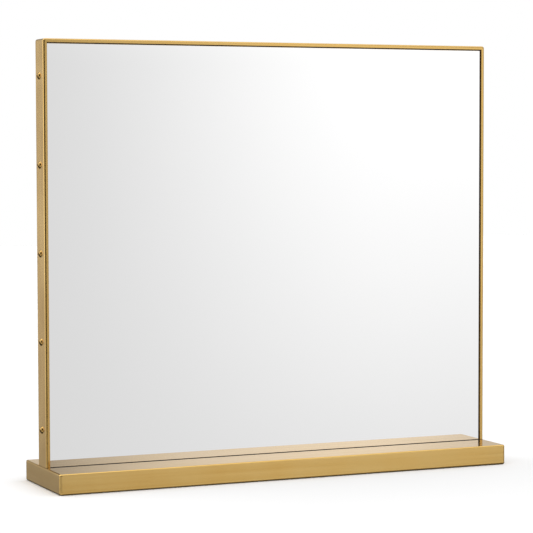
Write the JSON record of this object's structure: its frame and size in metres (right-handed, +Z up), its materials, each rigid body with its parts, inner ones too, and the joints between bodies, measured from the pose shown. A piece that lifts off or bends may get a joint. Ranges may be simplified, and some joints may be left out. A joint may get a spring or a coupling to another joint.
{
  "type": "table mirror",
  "caption": "Thin-framed, nearly square mirror that stands upright on a low rectangular plinth, both in a brushed brass finish, with domed screws along the frame's sides.",
  "frame": {"origin": "on the table, under the middle of the plinth", "axes": "+X to the right seen from the front, +Y towards the back (the mirror faces -Y), +Z up"},
  "size_m": [0.615, 0.136, 0.549],
  "materials": {
    "top_bar": "brushed",
    "left_bar": "brushed",
    "right_bar": "brushed",
    "bottom_bar": "brushed",
    "base_shell": "brushed",
    "left_frame_screws": "satin",
    "right_frame_screws": "satin",
    "mirror_glass": "polished",
    "edge_seal": "matt",
    "safety_film": "matt",
    "mounting_tape": "matt foam",
    "setting_blocks": "matt",
    "backing_panel": "raw board",
    "rail_left": "raw",
    "rail_right": "raw",
    "rail_top": "raw",
    "rail_bottom": "raw",
    "rail_middle": "raw",
    "rear_cover": "black, satin",
    "base_core": "raw board",
    "corner_brackets": "zinc",
    "bracket_screws": "zinc",
    "cover_screws": "blackened",
    "side_inserts": "turned",
    "base_inserts": "turned",
    "frame_bolts": "zinc",
    "bolt_washers": "zinc",
    "bottom_plate": "black, satin",
    "plate_screws": "blackened",
    "foot_strips": "matt"
  },
  "bodies": {
    "root": {"top_bar": "top_bar", "left_bar": "left_bar", "right_bar": "right_bar", "bottom_bar": "bottom_bar", "base_shell": "base_shell", "left_frame_screws": "left_frame_screws", "right_frame_screws": "right_frame_screws", "mirror_glass": "mirror_glass", "edge_seal": "edge_seal", "safety_film": "safety_film", "mounting_tape": "mounting_tape", "setting_blocks": "setting_blocks", "backing_panel": "backing_panel", "rail_left": "rail_left", "rail_right": "rail_right", "rail_top": "rail_top", "rail_bottom": "rail_bottom", "rail_middle": "rail_middle", "rear_cover": "rear_cover", "base_core": "base_core", "corner_brackets": "corner_brackets", "bracket_screws": "bracket_screws", "cover_screws": "cover_screws", "side_inserts": "side_inserts", "base_inserts": "base_inserts", "frame_bolts": "frame_bolts", "bolt_washers": "bolt_washers", "bottom_plate": "bottom_plate", "plate_screws": "plate_screws", "foot_strips": "foot_strips"}
  },
  "joints": []
}
